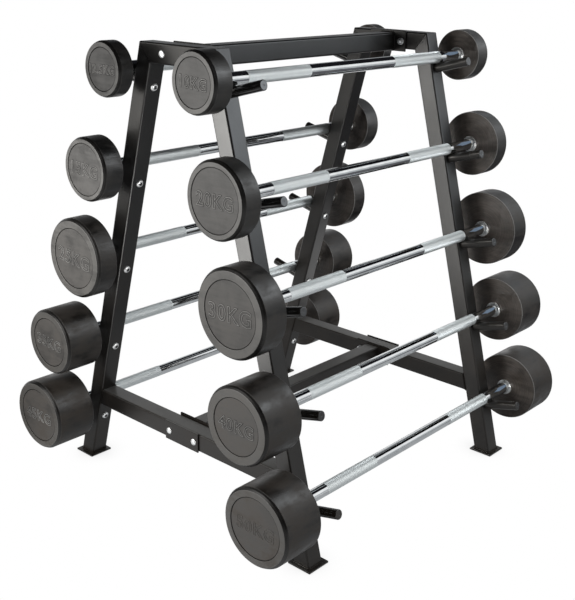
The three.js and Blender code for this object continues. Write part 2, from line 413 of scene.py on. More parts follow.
def nut_and_end(shape, place, turn):
    """Washer, hexagon nut and threaded bolt end, standing on local y = 0."""
    lathe(shape, place, [(0, -0.0003), (0.0098, -0.0003), (0.0102, 0.0001), (0.0102, 0.0012),
                         (0.0098, 0.0016), (0, 0.0016)], 40)
    apothem, corner, pitch = 0.0081, 0.0086, 0.00125
    ringed(shape, place, [
        (hex_reach(apothem - 0.0003, turn), 0.0015), (hex_reach(apothem, turn), 0.0019),
        (hex_reach(apothem, turn), 0.0072),
        (lambda a: min(hexagon_reach(a + turn, apothem), corner), 0.0079),
        (round_reach(0.0073), 0.0083), (round_reach(0.0052), 0.0083), (round_reach(0.0049), 0.0078),
    ])
    profile = [(0, 0.0070), (0.0047, 0.0070)]
    for k in range(4):
        profile += [(0.0047, 0.0080 + k * pitch), (0.0041, 0.0086 + k * pitch)]
    profile += [(0.0038, 0.0133), (0, 0.0133)]
    lathe(shape, place, profile, 32)


# Materials

def node(tree, kind, inputs=(), **settings):
    """Adds a node, sets its own settings, and sets or links its inputs."""
    made = tree.nodes.new(kind)
    for key, value in settings.items():
        setattr(made, key, value)
    for key, value in dict(inputs).items():
        if isinstance(value, bpy.types.NodeSocket):
            tree.links.new(value, made.inputs[key])
        else:
            made.inputs[key].default_value = value
    return made


def arithmetic(tree, operation, first, second, clamp=False):
    return node(tree, "ShaderNodeMath", {0: first, 1: second}, operation=operation,
                use_clamp=clamp).outputs[0]


def noise(tree, vector, scale, detail, roughness=0.5):
    return node(tree, "ShaderNodeTexNoise", {"Vector": vector, "Scale": scale, "Detail": detail,
                                             "Roughness": roughness}).outputs["Fac"]


def spread(tree, value, low, high, out_low, out_high):
    return node(tree, "ShaderNodeMapRange", {"Value": value, "From Min": low, "From Max": high,
                                             "To Min": out_low, "To Max": out_high}).outputs["Result"]


def blended(tree, share, first, second):
    mix = node(tree, "ShaderNodeMix", data_type="RGBA")
    tree.links.new(share, mix.inputs[0])
    for index, colour in ((6, first), (7, second)):
        if isinstance(colour, bpy.types.NodeSocket):
            tree.links.new(colour, mix.inputs[index])
        else:
            mix.inputs[index].default_value = (*colour, 1)
    return mix.outputs[2]


def sum_of(tree, first, second, share):
    return arithmetic(tree, "ADD", first, arithmetic(tree, "MULTIPLY", second, share))


def bump(tree, height, strength, distance, under=None):
    inputs = {"Height": height, "Strength": strength, "Distance": distance}
    if under:
        inputs["Normal"] = under
    return node(tree, "ShaderNodeBump", inputs).outputs["Normal"]


def start_material(name):
    made = bpy.data.materials.new(name)
    made.use_nodes = True
    tree = made.node_tree
    shader = tree.nodes["Principled BSDF"]
    where = node(tree, "ShaderNodeTexCoord").outputs["Object"]
    return made, tree, shader, where


def axis(tree, vector, name):
    return node(tree, "ShaderNodeSeparateXYZ", {0: vector}).outputs[name]


# Brown tint low down: part dust, part painted warm light bounced up from the floor
LOW_TINT_FROM = 0.05
PAINT_DUST_AND_BOUNCE = (0.024, 0.0185, 0.0140)
PAINT_CLEAR = 0.80
RUBBER_CLEAR = 0.95
# Pale grey mixed into faces that point up: painted light from above
TOP_LIGHT_GREY = (0.105, 0.102, 0.097)


def dust_and_floor_bounce(tree, where, base, low_tint, clear_height, most, patches):
    """Mixes in a brown tint in patches, strongest near the floor and gone at clear_height: part dust, part
    painted warm light bounced up from the floor.
    """
    share = spread(tree, axis(tree, where, "Z"), LOW_TINT_FROM, clear_height, most, 0.0)
    uneven = spread(tree, patches, 0.0, 1.0, 0.35, 1.15)
    return blended(tree, arithmetic(tree, "MULTIPLY", share, uneven, clamp=True), base, low_tint)


def painted_top_light(tree, where, base, patches):
    """Mixes pale grey into what faces up, as painted light from above: full on the lower rails, thin on top,
    none on the feet.
    """
    normal = node(tree, "ShaderNodeNewGeometry").outputs["Normal"]
    faces_up = spread(tree, axis(tree, normal, "Z"), 0.80, 0.98, 0.0, 1.0)
    height = axis(tree, where, "Z")
    off_the_feet = spread(tree, height, 0.06, 0.12, 0.0, 1.0)
    share = arithmetic(tree, "MULTIPLY", spread(tree, height, 0.30, 0.60, 1.0, 0.3), off_the_feet)
    share = arithmetic(tree, "MULTIPLY", share, faces_up)
    uneven = spread(tree, patches, 0.0, 1.0, 0.75, 1.1)
    return blended(tree, arithmetic(tree, "MULTIPLY", share, uneven, clamp=True), base, TOP_LIGHT_GREY)


def painted(name, dark, light, rough, specular, peel=0.12, top_light=False):
    """Powder coat: slight mottling and orange peel, a brown tint low down of dust and painted floor bounce,
    and painted light from above on what faces up.
    """
    made, tree, shader, where = start_material(name)
    cloud = noise(tree, where, 9.0, 4.0)
    patches = spread(tree, cloud, 0.35, 0.65, 0.0, 1.0)
    base = blended(tree, patches, dark, light)
    base = dust_and_floor_bounce(tree, where, base, PAINT_DUST_AND_BOUNCE, PAINT_CLEAR, 0.9, patches)
    if top_light:
        base = painted_top_light(tree, where, base, patches)
    tree.links.new(base, shader.inputs["Base Color"])
    fine = noise(tree, where, 700.0, 2.0)
    tree.links.new(spread(tree, cloud, 0.3, 0.7, rough - 0.03, rough + 0.05), shader.inputs["Roughness"])
    height = sum_of(tree, noise(tree, where, 160.0, 2.0), fine, 0.35)
    tree.links.new(bump(tree, height, peel, 0.0006), shader.inputs["Normal"])
    shader.inputs["Specular IOR Level"].default_value = specular
    return made


def turned_line(tree):
    """The along coordinate alone, so that a noise read from it makes rings."""
    along = axis(tree, node(tree, "ShaderNodeTexCoord").outputs["UV"], "Y")
    return node(tree, "ShaderNodeCombineXYZ", {"X": along}).outputs[0]


def turned_marks(tree, strength, under):
    """Fine rings left by turning."""
    return bump(tree, noise(tree, turned_line(tree), 1100.0, 2.0), strength, 0.0004, under)


def moulded(name, dark, light, rough_low, rough_high, specular, grain, turned=0.0, low_tint=None, most=0.0):
    """Moulded rubber: bloom in patches, rubbed streaks, a fine grain, and, when given, turned marks and a
    brown tint low down that is part dust, part painted warm floor bounce.
    """
    made, tree, shader, where = start_material(name)
    cloud = noise(tree, where, 16.0, 6.0, 0.62)
    drawn = node(tree, "ShaderNodeMapping", {"Vector": where, "Rotation": (0.5, 0.0, 0.3),
                                             "Scale": (1.0, 1.0, 7.0)}).outputs[0]
    rubbed = noise(tree, drawn, 14.0, 4.0, 0.55)
    patches = spread(tree, sum_of(tree, cloud, rubbed, 0.55), 0.64, 0.92, 0.0, 1.0)
    speck = noise(tree, where, 900.0, 3.0, 0.7)
    base = blended(tree, patches, dark, light)
    if low_tint:
        base = dust_and_floor_bounce(tree, where, base, low_tint, RUBBER_CLEAR, most, patches)
    if turned:
        rings = spread(tree, noise(tree, turned_line(tree), 330.0, 3.0, 0.7), 0.42, 0.60, 0.0, 0.60)
        base = blended(tree, rings, base, [c * 0.3 for c in dark])
    flecks = spread(tree, speck, 0.62, 0.72, 0.0, 0.35)
    tree.links.new(blended(tree, flecks, base, [c * 1.6 for c in light]), shader.inputs["Base Color"])
    tree.links.new(spread(tree, patches, 0.0, 1.0, rough_low, rough_high), shader.inputs["Roughness"])
    normal = bump(tree, sum_of(tree, speck, cloud, 0.8), grain, 0.0005)
    if turned:
        normal = turned_marks(tree, turned, normal)
    tree.links.new(normal, shader.inputs["Normal"])
    shader.inputs["Specular IOR Level"].default_value = specular
    return made


def metal(name, dark, light, rough_low, rough_high, scratch=0.03, stretch=(1.0, 30.0, 30.0), turned=0.0):
    """Bright plating: thin haze and hair lines."""
    made, tree, shader, where = start_material(name)
    haze = noise(tree, where, 30.0, 4.0)
    tree.links.new(blended(tree, spread(tree, haze, 0.35, 0.65, 0.0, 1.0), dark, light),
                   shader.inputs["Base Color"])
    tree.links.new(spread(tree, haze, 0.3, 0.7, rough_low, rough_high), shader.inputs["Roughness"])
    pulled = node(tree, "ShaderNodeMapping", {"Vector": where, "Scale": stretch}).outputs[0]
    normal = bump(tree, noise(tree, pulled, 40.0, 2.0), scratch, 0.0002)
    if turned:
        normal = turned_marks(tree, turned, normal)
    tree.links.new(normal, shader.inputs["Normal"])
    shader.inputs["Metallic"].default_value = 1.0
    return made


KNURLS_ROUND = 64.0
KNURLS_ALONG = 390.0


def knurled(name, colour, valley_shade, rough, depth):
    """Diamond knurl: two sets of spiral grooves, read from the round and along coordinates."""
    made, tree, shader, where = start_material(name)
    unrolled = node(tree, "ShaderNodeTexCoord").outputs["UV"]
    round_by = arithmetic(tree, "MULTIPLY", axis(tree, unrolled, "X"), KNURLS_ROUND)
    along_by = arithmetic(tree, "MULTIPLY", axis(tree, unrolled, "Y"), KNURLS_ALONG)
    ridges = []
    for operation in ("ADD", "SUBTRACT"):
        phase = arithmetic(tree, operation, round_by, along_by)
        ridges.append(arithmetic(tree, "PINGPONG", phase, 0.5))
    height = arithmetic(tree, "MINIMUM", *ridges)
    # Valleys darker than the crests: painted shade in the knurl's grooves
    shade = spread(tree, height, 0.0, 0.16, 0.0, 1.0)
    tree.links.new(blended(tree, shade, valley_shade, colour), shader.inputs["Base Color"])
    haze = noise(tree, where, 60.0, 3.0)
    tree.links.new(spread(tree, haze, 0.3, 0.7, rough - 0.04, rough + 0.06), shader.inputs["Roughness"])
    tree.links.new(bump(tree, height, depth, 0.0006), shader.inputs["Normal"])
    shader.inputs["Metallic"].default_value = 1.0
    return made


frame_paint = painted("frame_powder_coat", (0.008, 0.0075, 0.0070), (0.013, 0.0121, 0.0113), 0.34, 0.46,
                      top_light=True)
weld_paint = painted("weld_powder_coat", (0.009, 0.0085, 0.0080), (0.016, 0.015, 0.014), 0.54, 0.20, 0.25)
peg_paint = painted("peg_gloss_black", (0.006, 0.0058, 0.0055), (0.010, 0.0096, 0.0092), 0.16, 0.5, 0.03)
# Grey on the pegs' end faces: painted light; dark in the bolts' sockets: painted shade
peg_end_light_socket_shade = painted("peg_end_painted_light_socket_shade", (0.034, 0.0355, 0.038), (0.050, 0.0525, 0.056), 0.28, 0.55, 0.03)
# Lighter black for the right front pegs: painted light
peg_lit_copy = painted("peg_black_lit_copy", (0.034, 0.0320, 0.0295), (0.046, 0.0435, 0.0400), 0.28, 0.5, 0.03)
painted_shadow_line = painted("painted_shadow_line", (0.0018, 0.0018, 0.0018), (0.003, 0.003, 0.003), 0.70, 0.08, 0.05)
chrome = metal("polished_chrome", (0.70, 0.72, 0.735), (0.80, 0.82, 0.83), 0.05, 0.09)
knurl = knurled("knurled_chrome", (0.84, 0.88, 0.88), (0.68, 0.71, 0.71), 0.50, 0.19)
washer_chrome = metal("turned_chrome", (0.84, 0.84, 0.83), (0.93, 0.93, 0.92), 0.30, 0.40, 0.10,
                      (1.0, 1.0, 1.0), 0.30)
bolt_zinc = metal("bright_zinc", (0.86, 0.87, 0.87), (0.94, 0.95, 0.95), 0.38, 0.48, 0.08, (1.0, 1.0, 1.0))
rubber_disc = moulded("rubber_disc", (0.056, 0.0552, 0.0538), (0.100, 0.0985, 0.0962), 0.50, 0.70, 0.5, 0.18,
                      low_tint=(0.058, 0.049, 0.041), most=0.80)
rubber_rim = moulded("rubber_rim", (0.080, 0.0790, 0.0766), (0.132, 0.1303, 0.1263), 0.42, 0.62, 0.6, 0.12,
                     low_tint=(0.050, 0.044, 0.037), most=0.85)
rubber_wall = moulded("rubber_wall", (0.004, 0.0037, 0.0034), (0.028, 0.0257, 0.0235), 0.32, 0.58, 0.5, 0.14,
                      low_tint=(0.036, 0.0275, 0.0205), most=0.85)
rubber_inner = moulded("rubber_inner_face", (0.036, 0.0300, 0.0258), (0.084, 0.0700, 0.0605), 0.30, 0.42,
                       0.5, 0.05, 1.4, low_tint=(0.110, 0.094, 0.082), most=0.8)
# Near-black on the bevelled band and in the groove round the disc: painted shade
rubber_band_painted_shade = moulded("rubber_band_painted_shade", (0.005, 0.0046, 0.0042), (0.009, 0.0083, 0.0076), 0.34, 0.44, 0.35, 0.04)
# Dark bead beside the letters' outlines: painted shadow
letter_shadow = moulded("letter_painted_shadow", (0.011, 0.0107, 0.0102), (0.019, 0.0185, 0.0178), 0.60, 0.72, 0.3,
                        0.05)
# Light finish on the letters' beads and the inner face's rounded edge: painted highlight, with some wear on
# the letters
lit_ridge = moulded("letter_ridge_painted_highlight", (0.160, 0.158, 0.154), (0.250, 0.247, 0.241), 0.40, 0.52, 0.6, 0.05)
# Thin light line on the rim's outer edge: painted highlight
edge_highlight = moulded("edge_painted_highlight", (0.085, 0.083, 0.080), (0.160, 0.157, 0.152), 0.36, 0.48, 0.6, 0.05)
HEAD_FINISHES = [rubber_disc, rubber_rim, rubber_wall, rubber_inner, rubber_band_painted_shade, letter_shadow, lit_ridge,
                 edge_highlight]
DISC, RIM, WALL, INNER, SHADED_BAND, LETTER_SHADOW, LIT_RIDGE, LIT_EDGE = range(8)

# Rack: leaning uprights on welded feet, rails between them, and the two long beams

def outward(way):
    """Normal of the outer faces of the uprights on one side."""
    return Vector((0, way * math.cos(LEAN), math.sin(LEAN)))


def upright_axis(way):
    return Vector((0, -way * math.sin(LEAN), math.cos(LEAN)))


def outer_y(height):
    return OUTER_FACE_AT_FLOOR - height * math.tan(LEAN)


def mitre(x, way, facing_up):
    """Plane between an upright and its top rail: through the outer and the inner corner."""
    outer = Vector((x, way * outer_y(RACK_HEIGHT), RACK_HEIGHT))
    inner_height = RACK_HEIGHT - TUBE
    inner = Vector((x, way * (outer_y(inner_height) - TUBE / math.cos(LEAN)), inner_height))
    line = outer - inner
    normal = Vector((0, -way * abs(line.z), abs(line.y))).normalized()
    if not facing_up:
        normal = -normal
    return outer - normal * FIT_GAP / 2, normal


def make_upright(end, x, side, way):
    shape = Shape()
    along = upright_axis(way)
    middle_y = outer_y(0) - TUBE / math.cos(LEAN) / 2
    foot_centre = Vector((x, way * middle_y, 0))
    foot_plane = (Vector((0, 0, FOOT_THICKNESS - TUBE_SUNK)), -UP)
    tube(shape, foot_centre, along, ALONG_X, foot_plane, mitre(x, way, True))
    half = FOOT_SIZE / 2
    block(shape, (x - half, way * middle_y - half, 0), (x + half, way * middle_y + half, FOOT_THICKNESS))
    path = on_plane(foot_centre, along, ALONG_X, TUBE_SECTION, (Vector((0, 0, FOOT_THICKNESS)), UP))
    bead(shape, path, UP, FOOT_WELD)
    made = shape.piece(f"upright_{end}_{side}_tube", "rack", "frame_paint", [frame_paint, weld_paint],
                       [f"upright_{end}_{side}"])
    (front_uprights if side == "front" else rear_uprights).objects.link(made)
    if (end, side) == ("right", "front"):
        far_upright.objects.link(made)


def make_top_rail(end, x):
    shape = Shape()
    tube(shape, Vector((x, 0, TOP_RAIL_Z)), ALONG_Y, ALONG_X, mitre(x, -1, False), mitre(x, 1, False))
    made = shape.piece(f"top_rail_{end}_tube", "rack", "frame_paint", [frame_paint], [f"top_rail_{end}"])
    top_rails.objects.link(made)


def make_lower_rail(end, x, way_x):
    shape = Shape()
    centre = Vector((x, 0, LOWER_RAIL_Z))
    planes = []
    for way in (-1, 1):
        normal = outward(way)
        face = Vector((x, way * outer_y(0), 0)) - normal * (TUBE + FIT_GAP)
        planes.append((face, normal))
    tube(shape, centre, ALONG_Y, ALONG_X, planes[0], planes[1])
    for face, normal in planes:
        path = on_plane(centre, ALONG_Y, ALONG_X, TUBE_SECTION, (face, normal))
        bead(shape, path, normal, RAIL_WELD)
    outer_x = x + way_x * TUBE / 2
    low_x, high_x = sorted((outer_x - way_x * BACKING_SUNK, outer_x + way_x * BACKING_THICKNESS))
    block(shape, (low_x, -FLANGE_WIDTH / 2, LOWER_RAIL_Z - BACKING_HEIGHT / 2),
          (high_x, FLANGE_WIDTH / 2, LOWER_RAIL_Z + BACKING_HEIGHT / 2))
    shape.piece(f"lower_rail_{end}_tube", "rack", "frame_paint", [frame_paint, weld_paint],
                [f"lower_rail_{end}"])


def make_beam(name, height):
    low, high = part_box(name)
    ends = [(low.x, -1), (high.x, 1)]
    shape = Shape()
    centre = Vector((0, 0, height))
    backs = []
    for face_x, way in ends:
        inner_x = face_x - way * FLANGE_THICKNESS
        first, last = sorted((face_x, inner_x))
        crest = height + FLANGE_RISE + FLANGE_HEIGHT / 2
        block(shape, (first, -FLANGE_WIDTH / 2, crest - FLANGE_HEIGHT),
              (last, FLANGE_WIDTH / 2, crest))
        # Black line along the flange's crest: a painted shadow
        block(shape, (first + 0.0003, 0.0005 - FLANGE_WIDTH / 2, crest - 0.0010),
              (last - 0.0003, FLANGE_WIDTH / 2 - 0.0005, crest + 0.0007), 0.0003, SHADOW_LINE)
        backs.append((Vector((inner_x + way * TUBE_SUNK, 0, height)), ALONG_X * way))
        path = on_plane(centre, ALONG_X, ALONG_Y, TUBE_SECTION, (Vector((inner_x, 0, height)), ALONG_X))
        bead(shape, path, ALONG_X, RAIL_WELD)
    tube(shape, centre, ALONG_X, ALONG_Y, backs[0], backs[1])
    shape.piece(f"{name}_tube", "rack", "frame_paint", [frame_paint, weld_paint, painted_shadow_line], [name])
    return ends


def peg_root(weight, way, x):
    """Where a peg's axis meets its upright's outer face, below the bar that lies on it."""
    low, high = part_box(f"bar_{weight}")
    middle = (low + high) / 2
    root = middle - outward(way) * (BAR_RADIUS + FIT_GAP)
    root -= upright_axis(way) * (PEG_RADIUS + BAR_RADIUS + FIT_GAP)
    return Vector((x, root.y, root.z))


def make_peg(end, side, way, tier, root):
    place = facing(root, outward(way), upright_axis(way))
    rod, tip, edge, dimple = PEG_RADIUS, PEG_LENGTH, 0.0016, 0.0022
    profile = [(0, FIT_GAP), (rod - 0.0006, FIT_GAP), (rod, FIT_GAP + 0.0006), (rod, 0.02), (rod, tip - 0.02),
               (rod, tip - edge), (rod - 0.0003, tip - edge + 0.0006), (rod - edge + 0.0003, tip - 0.0004),
               (rod - edge - 0.0002, tip)]
    face = [(rod - edge - 0.0010, tip), (dimple + 0.0006, tip), (dimple, tip - 0.0004), (0, tip - 0.0012)]
    finishes = [0] * (len(profile) - 1) + [LIT_PEG_FACE] * len(face)
    shape = Shape()
    lathe(shape, place, profile + face, 48, finishes)
    # The right front pegs get the lighter copy of the black: painted light
    lit_copy = (end, side) == ("right", "front")
    made = shape.piece(f"peg_{end}_{side}_{tier}_rod", "rack", "peg_paint",
                       [peg_lit_copy if lit_copy else peg_paint, peg_end_light_socket_shade], [f"peg_{end}_{side}_{tier}"])
    if lit_copy:
        right_pegs.objects.link(made)


def make_rack():
    for end, way_x in ENDS:
        low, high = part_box(f"upright_{end}_front")
        x = (low.x + high.x) / 2
        make_top_rail(end, x)
        make_lower_rail(end, x, way_x)
        for side, way, heads in SIDES:
            make_upright(end, x, side, way)
            bolts = Shape()
            for tier, head in enumerate(heads, 1):
                root = peg_root(head.weight, way, x)
                make_peg(end, side, way, tier, root)
                behind = facing(root - outward(way) * TUBE, -outward(way))
                # Each socket is turned its own way
                button_bolt(bolts, behind, 0.4 * tier + 0.9 * way + 0.3 * way_x)
            bright_pieces.objects.link(bolts.piece(f"peg_bolts_{end}_{side}", "rack", "chrome_bar",
                                                   [bolt_zinc, peg_end_light_socket_shade]))
        domes = Shape()
        for height, proud in ((TOP_RAIL_Z, 0), (LOWER_RAIL_Z, BACKING_THICKNESS)):
            for way in (-1, 1):
                outer = Vector((x + way_x * (TUBE / 2 + proud), way * BEAM_BOLT_Y, height))
                domed_bolt(domes, facing(outer, ALONG_X * way_x))
        bright_pieces.objects.link(domes.piece(f"beam_bolts_{end}", "rack", "chrome_bar", [bolt_zinc]))
    for name, height in (("top_beam", TOP_BEAM_Z), ("lower_beam", LOWER_BEAM_Z)):
        nuts = Shape()
        for face_x, way_x in make_beam(name, height):
            for way in (-1, 1):
                inner = Vector((face_x - way_x * FLANGE_THICKNESS, way * BEAM_BOLT_Y, height + FLANGE_RISE))
                nut_and_end(nuts, facing(inner, ALONG_X * -way_x), 0.35 * way + 0.2 * way_x)
        nuts.piece(f"{name}_nuts", "rack", "chrome_bar", [bolt_zinc])


# Barbells: knurled bar, two washers, two heads with raised outline lettering

def make_bar(weight, thickness, body):
    low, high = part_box(f"bar_{weight}")
    middle = (low + high) / 2
    end_x = HEAD_INNER_X + thickness * SOCKET_SHARE - FIT_GAP
    smooth, rough, ease = BAR_RADIUS, BAR_RADIUS + KNURL_RISE, 0.0004
    grip_end = KNURL_END - KNURL_CUTS.get(weight, 0)
    half = [(smooth, 0.1), (smooth, KNURL_START), (smooth, grip_end), (smooth, end_x - 0.001),
            (smooth - 0.001, end_x), (0, end_x)]
    shape = Shape()
    place = facing(Vector((0, middle.y, middle.z)), ALONG_X)
    lathe(shape, place, [(r, -s) for r, s in reversed(half)] + half, 64)
    shafts.objects.link(shape.piece(f"bar_{weight}_shaft", body, "chrome_bar", [chrome], [f"bar_{weight}"]))
    grips = Shape()
    for way in (-1, 1):
        lathe(grips, place, [(smooth - ease, way * (KNURL_START - ease)), (rough, way * KNURL_START),
                             (rough, way * grip_end), (smooth - ease, way * (grip_end + ease))], 64)
    made = grips.piece(f"bar_{weight}_grips", body, "chrome_bar", [knurl])
    grip_pieces.objects.link(made)
    if weight not in SHADED_GRIPS:
        back_lit_grips.objects.link(made)
    for end, way_x in ENDS:
        ring = Shape()
        face = Vector((way_x * (HEAD_INNER_X - FIT_GAP), middle.y, middle.z))
        inner, lip, thick = BAR_RADIUS + 0.0001, WASHER_RADIUS, WASHER_THICKNESS
        profile = [(inner, 0), (lip - 0.0006, 0), (lip, 0.0006), (lip, thick - 0.0012)]
        profile += arc((lip - 0.0009, thick - 0.0012), 0.0009, 15, 90, 4)
        profile += [(lip - 0.0014, thick - 0.0004), (inner + 0.0009, thick - 0.0026), (inner, thick - 0.0032),
                    (inner, 0)]
        lathe(ring, facing(face, ALONG_X * -way_x), profile, 72)
        bright_pieces.objects.link(ring.piece(f"washer_{weight}_{end}", body, "chrome_bar", [washer_chrome]))


def mesh_of(obj):
    """Mesh of a curve object as it stands after its last change."""
    bpy.context.view_layer.update()
    return bpy.data.meshes.new_from_object(obj.evaluated_get(bpy.context.evaluated_depsgraph_get()))


def lettering(text, width, turn, thick, flat):
    """Beads along the outlines of the letters, centred, in the plane of X and Y; flat scales their height."""
    curve = bpy.data.curves.new("letters", "FONT")
    curve.body = text
    curve.align_x = "CENTER"
    curve.align_y = "CENTER"
    curve.fill_mode = "NONE"
    curve.resolution_u = 3
    curve.size = 1.0
    curve.offset = 0.012
    curve.space_character = 1.12
    obj = bpy.data.objects.new("letters", curve)
    bpy.context.scene.collection.objects.link(obj)
    # A first mesh, with a trial thickness, gives the scale
    curve.bevel_depth = 0.02
    curve.bevel_resolution = 1
    mesh = mesh_of(obj)
    scale = width / np.ptp([v.co.x for v in mesh.vertices])
    bpy.data.meshes.remove(mesh)
    curve.bevel_depth = thick / scale
    mesh = mesh_of(obj)
    co = np.array([v.co for v in mesh.vertices])
    co -= (co.max(0) + co.min(0)) / 2
    co *= (scale, scale, scale * flat)
    turned = Matrix.Rotation(math.radians(turn), 3, "Z")
    points = [turned @ Vector(p) for p in co]
    faces = [list(p.vertices) for p in mesh.polygons]
    bpy.data.objects.remove(obj)
    bpy.data.curves.remove(curve)
    bpy.data.meshes.remove(mesh)
    return points, faces


def make_head(head, end, way_x, way, body):
    weight, radius, thickness = head.weight, head.radius, head.thickness
    low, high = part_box(f"head_{weight}_{end}")
    middle = (low + high) / 2
    place = facing(Vector((way_x * HEAD_INNER_X, middle.y, middle.z)), ALONG_X * way_x)
    disc = radius * head.disc_share
    recess, edge = 0.0015, 0.0024
    chamfer, band = 0.065 * radius, 0.0080
    socket = BAR_RADIUS + FIT_GAP
    depth = thickness * SOCKET_SHARE
    # From the bar's socket over the inner face, wall, bevelled band and rim to the sunken disc; the band and
    # the groove round the disc are near-black, painted shade
    steps = [
        ((0, depth), INNER), ((socket, depth), INNER), ((socket, 0.0008), INNER),
        ((socket + 0.0008, 0), INNER), ((socket + 0.004, 0), INNER), ((radius - edge - 0.0015, 0), INNER),
    ]
    # The inner face's rounded edge gets the lit ridge finish: a painted highlight
    for k, p in enumerate(arc((radius - edge, edge), edge, -90, 0, 6)):
        steps.append((p, LIT_RIDGE if 1 <= k <= 3 else WALL))
    start, crest, bed = thickness - band, radius - chamfer, thickness - recess
    steps += [
        ((radius, edge + 0.002), WALL), ((radius, start - 0.002), WALL), ((radius, start - 0.0008), WALL),
        ((radius - 0.0006, start - 0.0003), SHADED_BAND), ((radius - 0.0008, start + 0.0003), SHADED_BAND),
        ((radius - 0.42 * chamfer - 0.0004, thickness - 0.56 * band), SHADED_BAND),
        ((radius - 0.42 * chamfer - 0.0001, thickness - 0.56 * band + 0.0007), SHADED_BAND),
        ((radius - 0.50 * chamfer - 0.0001, thickness - 0.44 * band + 0.0002), SHADED_BAND),
        ((crest + 0.0005, thickness - 0.0010), SHADED_BAND), ((crest, thickness - 0.0004), LIT_EDGE),
        ((crest - 0.0006, thickness - 0.0001), RIM), ((crest - 0.0013, thickness), RIM),
        ((crest - 0.0023, thickness), RIM), ((disc + 0.0018, thickness), RIM),
        ((disc + 0.0007, thickness - 0.0002), RIM), ((disc + 0.0002, thickness - 0.0008), SHADED_BAND),
        ((disc - 0.0002, bed - 0.0009), SHADED_BAND), ((disc - 0.0010, bed - 0.0009), SHADED_BAND),
        ((disc - 0.0017, bed - 0.0001), DISC), ((disc - 0.0024, bed), DISC), ((disc * 0.5, bed), DISC),
        ((0, bed), DISC),
    ]
    profile = [p for p, _ in steps]
    shape = Shape()
    lathe(shape, place, profile, 96, [f for _, f in steps])
    face_x = way_x * (HEAD_INNER_X + bed)
    right = Vector((0, way_x, 0))
    for thick, flat, finish in ((LETTER_SHADOW_WIDTH, SHADOW_SCALE, LETTER_SHADOW), (LETTER_BEAD, BEAD_SCALE, LIT_RIDGE)):
        if weight in WORN_HEADS:
            finish = RIM if finish == LIT_RIDGE else DISC
        points, faces = lettering(head.text, 2 * radius * head.text_share, -way_x * head.turn, thick, flat)
        placed = [Vector((face_x + way_x * p.z, middle.y, middle.z)) + right * p.x + UP * p.y for p in points]
        shape.add(placed, faces, finish)
    made = shape.piece(f"head_{weight}_{end}_rubber", body, "head_rubber", HEAD_FINISHES,
                       [f"head_{weight}_{end}"])
    if way > 0:
        rear_heads.objects.link(made)
    if way_x > 0:
        right_heads.objects.link(made)
        if way < 0:
            inner_faces.objects.link(made)
    elif weight in MIDDLE_LEFT_HEADS:
        middle_heads.objects.link(made)
    elif weight in DIM_LEFT_HEADS:
        rubber_pieces.objects.unlink(made)
        dim_head.objects.link(made)


def make_barbells():
    for side, way, heads in SIDES:
        for head in heads:
            body = f"barbell_{head.weight}"
            make_bar(head.weight, head.thickness, body)
            for end, way_x in ENDS:
                make_head(head, end, way_x, way, body)


make_rack()
make_barbells()

# Stage: white floor that keeps a soft shadow, soft boxes, and dark flags that only reflections see


def plane(name, centre, width, height, direction, material):
    """Flat sheet whose face looks along direction."""
    mesh = bpy.data.meshes.new(name)
    w, h = width / 2, height / 2
    mesh.from_pydata([(-w, 0, -h), (w, 0, -h), (w, 0, h), (-w, 0, h)], [], [(0, 1, 2, 3)])
    mesh.materials.append(material)
    obj = bpy.data.objects.new(name, mesh)
    bpy.context.scene.collection.objects.link(obj)
    up = UP if abs(Vector(direction).normalized().z) < 0.99 else ALONG_Y
    obj.matrix_world = facing(Vector(centre), direction, up)
    return obj


def white_rays(tree):
    """1 for camera, glossy and transmission rays, which all see the white room, else 0."""
    path = node(tree, "ShaderNodeLightPath")
    white = path.outputs["Is Camera Ray"]
    for kind in ("Is Glossy Ray", "Is Transmission Ray"):
        white = arithmetic(tree, "MAXIMUM", white, path.outputs[kind])
    return white


def stage_material(name):
    made = bpy.data.materials.new(name)
    made.use_nodes = True
    made.node_tree.nodes.clear()
    return made, made.node_tree


def make_floor_material():
    """White where it is seen, with a painted shadow from ambient occlusion close to the feet, and pale grey
    where it lights.
    """
    made, tree = stage_material("floor_white")
    near = node(tree, "ShaderNodeAmbientOcclusion", {"Distance": 0.075}, samples=12).outputs["AO"]
    soft = spread(tree, near, 0.10, 0.95, 0.70, 1.0)
    white = node(tree, "ShaderNodeEmission", {"Color": (1, 1, 1, 1), "Strength": soft}).outputs[0]
    lit = node(tree, "ShaderNodeBsdfDiffuse", {"Color": (0.8, 0.8, 0.8, 1)}).outputs[0]
    both = node(tree, "ShaderNodeMixShader", {0: white_rays(tree), 1: lit, 2: white}).outputs[0]
    node(tree, "ShaderNodeOutputMaterial", {"Surface": both})
    return made


def make_card_material(name, level):
    made, tree = stage_material(name)
    glow = node(tree, "ShaderNodeEmission", {"Color": (*level, 1), "Strength": 1.0}).outputs[0]
    node(tree, "ShaderNodeOutputMaterial", {"Surface": glow})
    return made


def card(name, centre, width, height, direction, material):
    """Sheet that only reflections see."""
    obj = plane(name, centre, width, height, direction, material)
    obj.visible_camera = False
    obj.visible_diffuse = False
    obj.visible_transmission = False
    obj.visible_volume_scatter = False
    obj.visible_shadow = False
    return obj


def soft_box(name, centre, target, width, height, power, colour, lit):
    """Area lamp in watts that lights only the pieces of one collection."""
    light = bpy.data.lights.new(name, "AREA")
    light.shape = "RECTANGLE"
    light.size = width
    light.size_y = height
    light.energy = power
    light.color = colour
    obj = bpy.data.objects.new(name, light)
    bpy.context.scene.collection.objects.link(obj)
    obj.location = centre
    toward = Vector(target) - Vector(centre)
    obj.rotation_euler = toward.to_track_quat("-Z", "Y").to_euler()
    obj.visible_camera = False
    obj.light_linking.receiver_collection = lit
    return obj


plane("floor", (0, 0, 0), 60, 60, UP, make_floor_material())

